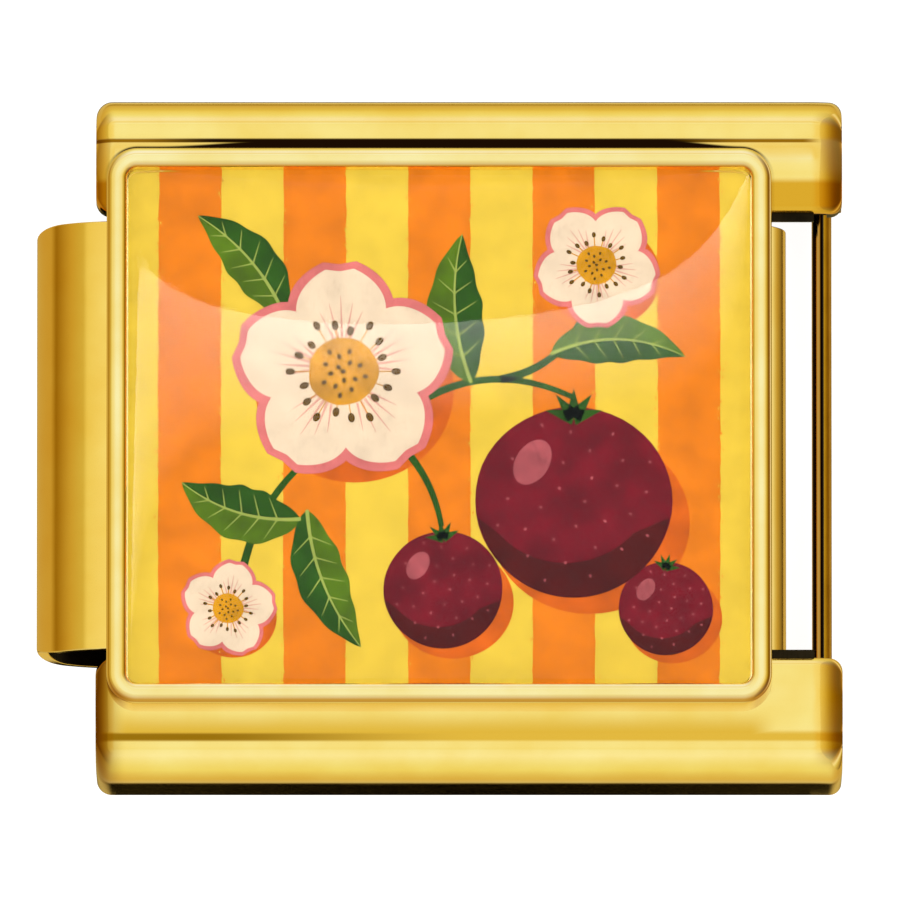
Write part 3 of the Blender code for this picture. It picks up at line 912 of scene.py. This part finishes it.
# A layer's height, and each printed shape's layer from the plate up
LAYER = 0.0022
STRIPE, BLOSSOM_SHADE, FLECK, BERRY_SHADE, STEM = 1, 1.2, 1.25, 1.4, 1.8
LEAF, LEAF_HALF, LEAF_VEIN, LEAF_RIB = 2, 2.6, 3.2, 3.4
BERRY, BERRY_MOON, BERRY_SPECK, BERRY_GLOSS, BERRY_CROWN = 2, 2.5, 2.9, 3, 3.4
PETAL_EDGE, PETAL, PETAL_STEP, PETAL_VEIN = 3.7, 4.5, 0.15, 5.3
POLLEN, STAMEN, ANTHER = 5.6, 5.8, 6.2
# Stripes, and the flecks beside their edges
STRIPES = 11
PRINT_MARGIN = 0.006
STRIPE_STEPS = 60
STRIPE_UNEVEN = 0.006
STRIPE_FLECKS = 110
FLECK_SPREAD = 0.022
FLECK_MARGIN = 0.03
# The spray: ends, width and bow of stems and leaves; centre, radius and turn of the others
STEM_WIDTHS = (0.11, 0.07)
STEMS = (
    ((-2.6, -2.1), (-1.3, -0.1), 0.12), ((-0.6, 0.1), (1.73, 0.42), 0.16),
    ((0.80, 0.645), (1.95, 1.75), -0.16), ((-0.75, 0.0), (0.03, -1.28), 0.10))
LEAVES = (
    ((-1.80, -1.18), (-3.35, -0.70), 0.72, 0.10), ((-1.72, -1.06), (-1.02, -2.85), 0.66, -0.08),
    ((0.42, 0.60), (0.30, 2.55), 0.72, 0.08), ((1.45, 0.98), (3.20, 0.95), 0.62, 0.12),
    ((-2.0, 1.45), (-3.15, 2.80), 0.66, -0.08))
BERRIES = (((1.75, -0.95), 1.28, 0), ((0.05, -2.10), 0.78, 12), ((2.95, -2.35), 0.62, -16))
BLOSSOMS = (((-1.25, 0.75), 1.50, 20), ((2.05, 2.15), 0.86, 55), ((-2.75, -2.35), 0.66, 8))
BERRY_SPECKS = 30
PETALS = 5
STAMENS = 18
ANTHERS = 16
GOLDEN_ANGLE = 137.5
WAVE_COUNTS = (2, 3, 5, 7, 11)
SEED = 17


def add_slab(built, outline, bottom, top):
    """A closed upright slab from an outline in X and Y; gives back its faces."""
    lower = [built.verts.new((x, y, bottom)) for x, y in outline]
    upper = [built.verts.new((x, y, top)) for x, y in outline]
    faces = [built.faces.new(upper), built.faces.new(lower[::-1])]
    for i in range(len(outline)):
        j = (i + 1) % len(outline)
        faces.append(built.faces.new((lower[i], lower[j], upper[j], upper[i])))
    return faces


class Print:
    """Collects printed shapes in one mesh, each a very thin slab in its layer."""

    def __init__(self):
        self.built = bmesh.new()
        self.colours = list(PAINTS)
        self.random = random.Random(SEED)

    def slab(self, outline, colour, layer):
        """One closed slab from an outline in X and Y."""
        bottom, top = PICTURE_HIGH.z - 0.5 * LAYER, PICTURE_HIGH.z + LAYER * layer
        for face in add_slab(self.built, outline, bottom, top):
            face.material_index = self.colours.index(colour)

    def wobbled(self, outline, size):
        """The outline with a hand's slow unevenness, from a few seeded waves."""
        waves = [(k, self.random.uniform(0, 2 * pi), self.random.uniform(0.3, 1.0) / k)
                 for k in WAVE_COUNTS]
        middle_x = sum(x for x, _ in outline) / len(outline)
        middle_y = sum(y for _, y in outline) / len(outline)
        moved = []
        for i, (x, y) in enumerate(outline):
            turn = 2 * pi * i / len(outline)
            push = size * sum(high * sin(k * turn + start) for k, start, high in waves)
            away = hypot(x - middle_x, y - middle_y) or 1.0
            moved.append((x + push * (x - middle_x) / away, y + push * (y - middle_y) / away))
        return moved


def shifted(centre, radius, right, up):
    """A point beside a centre, right and up as shares of a radius."""
    return (centre[0] + right * radius, centre[1] + up * radius)


def spot_at(centre, away, angle):
    """A point at a distance from a centre, at an angle in degrees."""
    turn = radians(angle)
    return (centre[0] + away * cos(turn), centre[1] + away * sin(turn))


def placed(outline, centre, turn, size):
    """An outline turned by degrees, sized and moved."""
    c, s = cos(radians(turn)), sin(radians(turn))
    return [(centre[0] + size * (x * c - y * s), centre[1] + size * (x * s + y * c))
            for x, y in outline]


def ellipse(wide, high, steps=48):
    """An ellipse's outline round the origin."""
    turns = [2 * pi * i / steps for i in range(steps)]
    return [(wide * cos(turn), high * sin(turn)) for turn in turns]


def beside_line(points, halves):
    """The lines left and right of a line of points, at each point's own distance."""
    left, right = [], []
    for i, ((x, y), half) in enumerate(zip(points, halves)):
        before = points[max(0, i - 1)]
        after = points[min(len(points) - 1, i + 1)]
        dx, dy = after[0] - before[0], after[1] - before[1]
        length = hypot(dx, dy)
        left.append((x - dy / length * half, y + dx / length * half))
        right.append((x + dy / length * half, y - dx / length * half))
    return left, right


def ribbon(points, start_width, end_width):
    """A tapering stroke along a line of points."""
    steps = len(points) - 1
    halves = [(start_width + (end_width - start_width) * i / steps) / 2 for i in range(steps + 1)]
    left, right = beside_line(points, halves)
    return left + right[::-1]


def curved_line(start, end, bow, steps=14):
    """Points from start to end that bow sideways."""
    dx, dy = end[0] - start[0], end[1] - start[1]
    points = []
    for i in range(steps + 1):
        t = i / steps
        lift = bow * 4 * t * (1 - t)
        points.append((start[0] + dx * t - dy * lift, start[1] + dy * t + dx * lift))
    return points


def leaf_half(width, t):
    """Half a leaf's width a share of the way along its rib, with a faint wave."""
    if not 0 < t < 1:
        return 0.0
    return width / 2 * sin(pi * t ** 0.85) ** 0.85 * (1 + 0.05 * sin(26 * t))


def add_leaf(art, base, tip, width, bow):
    """A pointed leaf with a dark half, a rib and side veins."""
    steps = 28
    rib = curved_line(base, tip, bow, steps)
    left, right = beside_line(rib, [leaf_half(width, i / steps) for i in range(steps + 1)])
    art.slab(left + right[-2:0:-1], "leaf", LEAF)
    art.slab(rib + right[-2:0:-1], "leaf_dark", LEAF_HALF)
    art.slab(ribbon(rib, 0.05, 0.012), "leaf_rib", LEAF_RIB)
    for k in range(5, 25, 4):
        for side in (left, right):
            end = side[min(steps - 1, k + 3)]
            reach = (rib[k][0] + 0.8 * (end[0] - rib[k][0]), rib[k][1] + 0.8 * (end[1] - rib[k][1]))
            art.slab(ribbon([rib[k], reach], 0.02, 0.006), "leaf_rib", LEAF_VEIN)


def add_berry(art, centre, radius, turn):
    """A round berry with a shaded side, a light spot, specks and a small crown."""
    shade_at, gloss_at, crown_at = (
        shifted(centre, radius, *by) for by in ((0.16, -0.22), (-0.42, 0.40), (0.0, 0.86)))
    art.slab(placed(ellipse(1.02, 0.93), shade_at, 0, radius), "shade", BERRY_SHADE)
    round_form = art.wobbled(ellipse(1.0, 0.97), 0.012)
    art.slab(placed(round_form, centre, turn, radius), "plum", BERRY)
    moon = arc((0, 0), 0.985, 190, 350, 30) + arc((-0.08, 0.30), 0.93, 318, 222, 30)
    art.slab(placed(moon, centre, 0, radius), "plum_dark", BERRY_MOON)
    art.slab(placed(ellipse(0.17, 0.25), gloss_at, -32, radius), "plum_light", BERRY_GLOSS)
    for k in range(BERRY_SPECKS):
        angle, away = GOLDEN_ANGLE * k, radius * 0.88 * sqrt((k + 0.5) / BERRY_SPECKS)
        speck = placed(ellipse(0.018, 0.012, 10), spot_at(centre, away, angle), angle,
                       0.7 + 0.5 * radius)
        art.slab(speck, "plum_light", BERRY_SPECK)
    tooth = [(-0.055, 0.0), (0.0, 0.20), (0.055, 0.0)]
    for angle in range(turn - 76, turn + 77, 38):
        art.slab(placed(tooth, crown_at, angle, 1.5 * radius), "leaf_dark", BERRY_CROWN)


def petal_outline(length, width):
    """A petal from the origin along +X, with a shallow notch at its tip."""
    outline = []
    steps = 26
    for i in range(steps + 1):
        t = i / steps
        half = width / 2 * sin(pi * min(1.0, t ** 1.25)) ** 0.6 if t < 1 else 0.0
        outline.append((length * t, half))
    tip = [(x - 0.06 * length * max(0.0, 1 - abs(y) / (0.16 * width)), y) for x, y in outline]
    return tip + [(x, -y) for x, y in tip[-2:0:-1]]


def add_blossom(art, centre, radius, turn):
    """A five-petal blossom with pink edges, fine veins and a golden middle with stamens."""
    shade_at = shifted(centre, radius, 0.10, -0.17)
    art.slab(placed(ellipse(0.86, 0.80), shade_at, 0, radius), "shade", BLOSSOM_SHADE)
    for k in range(PETALS):
        angle = turn + 360 // PETALS * k
        lift = PETAL_STEP * k
        edge = art.wobbled(petal_outline(1.0, 0.92), 0.008)
        art.slab(placed(edge, centre, angle, radius), "petal_edge", PETAL_EDGE + lift)
        inner = spot_at(centre, 0.03 * radius, angle)
        art.slab(placed(petal_outline(0.90, 0.78), inner, angle, radius), "petal", PETAL + lift)
        for lean in (-14, -7, 0, 7, 14):
            start = placed([(0.30, 0.0)], centre, angle + lean, radius)[0]
            reach = 0.66 - abs(lean) * 0.008
            end = placed([(reach, 0.0)], centre, angle + 1.4 * lean, radius)[0]
            art.slab(ribbon([start, end], 0.024 * radius, 0.006), "petal_vein", PETAL_VEIN)
    middle = art.wobbled(ellipse(0.30, 0.30, 40), 0.02)
    art.slab(placed(middle, centre, 0, radius), "pollen", POLLEN)
    for k in range(STAMENS):
        angle = turn + 360 // STAMENS * k
        root = spot_at(centre, 0.24 * radius, angle)
        tip = spot_at(centre, (0.36 + 0.05 * (k % 3)) * radius, angle)
        art.slab(ribbon([root, tip], 0.016, 0.012), "pollen", STAMEN)
        art.slab(placed(ellipse(0.042, 0.030, 14), tip, angle, radius), "pollen_dark", ANTHER)
    for k in range(ANTHERS):
        angle = GOLDEN_ANGLE * k
        dot = spot_at(centre, 0.055 * radius * sqrt(k), angle)
        art.slab(placed(ellipse(0.026, 0.020, 10), dot, angle, radius), "pollen_dark", ANTHER)


def add_stripes(art, length):
    """Every second stripe, with uneven edges and flecks of both colours beside them."""
    draws = art.random
    pitch = length / (STRIPES - 1)
    high, low = PICTURE_HIGH.y - PRINT_MARGIN, PICTURE_LOW.y + PRINT_MARGIN
    for k in range(1, STRIPES, 2):
        left, right = (PICTURE_LOW.x + pitch * (k + half) for half in (-0.5, 0.5))
        outline = curved_line((right, low), (right, high), 0.0, STRIPE_STEPS)
        outline += curved_line((left, high), (left, low), 0.0, STRIPE_STEPS)
        uneven = [(x + draws.uniform(-STRIPE_UNEVEN, STRIPE_UNEVEN), y) for x, y in outline]
        art.slab(uneven, "orange", STRIPE)
        for _ in range(STRIPE_FLECKS):
            x = draws.choice((left, right)) + draws.gauss(0.0, FLECK_SPREAD)
            y = draws.uniform(low + FLECK_MARGIN, high - FLECK_MARGIN)
            turn, size = draws.uniform(60, 120), draws.uniform(0.6, 1.5)
            fleck = placed(ellipse(0.013, 0.007, 6), (x, y), turn, size)
            art.slab(fleck, "yellow" if left < x < right else "orange", FLECK)


def add_picture():
    """The printed plate: stripes in two colours under blossoms, berries and leaves."""
    art = Print()
    length, width = PICTURE_HIGH.x - PICTURE_LOW.x, PICTURE_HIGH.y - PICTURE_LOW.y
    plate = rounded_rectangle(length, width, DOME_CORNER, PLATE_CORNER)
    add_slab(art.built, plate, PICTURE_LOW.z, PICTURE_HIGH.z)
    add_stripes(art, length)
    for start, end, bow in STEMS:
        art.slab(ribbon(curved_line(start, end, bow), *STEM_WIDTHS), "leaf_dark", STEM)
    for leaf in LEAVES:
        add_leaf(art, *leaf)
    for berry in BERRIES:
        add_berry(art, *berry)
    for blossom in BLOSSOMS:
        add_blossom(art, *blossom)
    mesh = to_mesh("picture_print", art.built, PRINT_SMOOTH_ANGLE)
    first, *others = [printed(f"ink_{colour}", *PAINTS[colour]) for colour in art.colours]
    piece = put("picture_print", mesh, first, "link", "printed_picture", "picture")
    for ink in others:
        piece.data.materials.append(ink)


def crown_height(x, y):
    """The height of the resin's top, steep beside the rim and flat in the middle."""
    along = abs(x / DOME_HIGH.x)
    across = abs(y / DOME_HIGH.y)
    swell = (1 - along ** CROWN_POWER) * (1 - across ** CROWN_POWER)
    return DOME_EDGE + (DOME_HIGH.z - DOME_EDGE) * max(swell, 0.0) ** CROWN_FULLNESS


def dome_outline(length, width, radius):
    """A rounded rectangle with evenly spaced points on its straight sides as well."""
    outline = rounded_rectangle(length, width, radius)
    points = []
    for start in range(0, len(outline), FINE_CORNER + 1):
        end = start + FINE_CORNER + 1
        (x, y), (next_x, next_y) = outline[end - 1], outline[end % len(outline)]
        points += outline[start:end]
        for k in range(1, DOME_SIDE_POINTS + 1):
            t = k / (DOME_SIDE_POINTS + 1)
            points.append((x + (next_x - x) * t, y + (next_y - y) * t))
    return points


def add_dome():
    """The clear resin, crowned in fine rings, its lowest face bonded to the print."""
    length, width = DOME_HIGH.x - DOME_LOW.x, DOME_HIGH.y - DOME_LOW.y
    edge = dome_outline(length, width, DOME_CORNER)
    rings = [[(x, y, z) for x, y in edge] for z in (DOME_LOW.z, DOME_EDGE)]
    for step in range(1, CROWN_RINGS + 1):
        inset = (width / 2 - DOME_CORNER) * (step / CROWN_RINGS) ** 2 * CROWN_REACH
        round_as = DOME_CORNER + CROWN_CORNER_GROWTH * inset
        corner = min(round_as, width / 2 - inset - CROWN_CORNER_GAP)
        outline = dome_outline(length - 2 * inset, width - 2 * inset, corner)
        rings.append([(x, y, crown_height(x, y)) for x, y in outline])
    resin = clear_resin("clear resin")
    piece = put("resin_dome", loft("resin_dome", rings), resin, "link", "clear_resin", "dome")
    piece.data.materials.append(clear_resin("resin bond", 1.0))
    for face in piece.data.polygons:
        if face.center.z < (DOME_LOW.z + SLACK) * MM:
            face.material_index = 1


def main():
    """Sets the stage, then dresses every node."""
    bpy.context.scene.view_settings.view_transform = "Standard"
    aim_camera()
    studio_surroundings()
    add_overhead_lamp()
    add_floor()
    rail_gold = plated_gold("rail gold", marks=ALONG_X, toned=painted_rail_shade)
    bezel_gold = plated_gold("bezel gold", tint=BEZEL_GOLD, polish=0.06, toned=painted_rim_shade)
    sleeve_gold = plated_gold("sleeve gold", marks=ALONG_Y)
    hollow_shade = plain_steel("dark lining", *HOLLOW_SHADE)
    inner_steel = plain_steel("plated inner steel", *INNER_STEEL)
    shaded_bar_steel = plain_steel("bar steel with painted shade", *SHADED_BAR_STEEL)
    dark_steel = painted_pin_highlight("dark cross pin")
    spring_steel = plain_steel("spring steel", *SPRING_STEEL)
    add_rail("rail_top", 1, rail_gold, hollow_shade)
    add_rail("rail_bottom", -1, rail_gold, hollow_shade)
    add_bezel(bezel_gold)
    add_sleeve(sleeve_gold, hollow_shade)
    add_softened("pin_left", "pin_left_turned", inner_steel, "link", "steel_inner")
    add_round_pin("pin_right", "pin_right_turned", dark_steel, "link", "steel_inner")
    add_softened("staple_left", "staple_left_formed", inner_steel, "inner_staple", "steel_inner")
    # The right staple's bar takes the darker steel: painted shade
    add_softened("staple_right", "staple_right_formed", shaded_bar_steel, "outer_staple", "steel_inner")
    add_softened("staple_spring", "staple_spring_leaf", spring_steel, "hook_sleeve", "spring_steel")
    add_softened("hook_spring", "hook_spring_leaf", spring_steel, "hook_sleeve", "spring_steel")
    add_picture()
    add_dome()
    add_strip_light()
    # The rim's shade on the print is painted shade, so the bezel casts none, and the gold doesn't
    # mirror pin and bar
    bpy.data.objects["bezel"].visible_shadow = False
    for name in ("pin_right_turned", "staple_right_formed"):
        bpy.data.objects[name].visible_glossy = False


main()
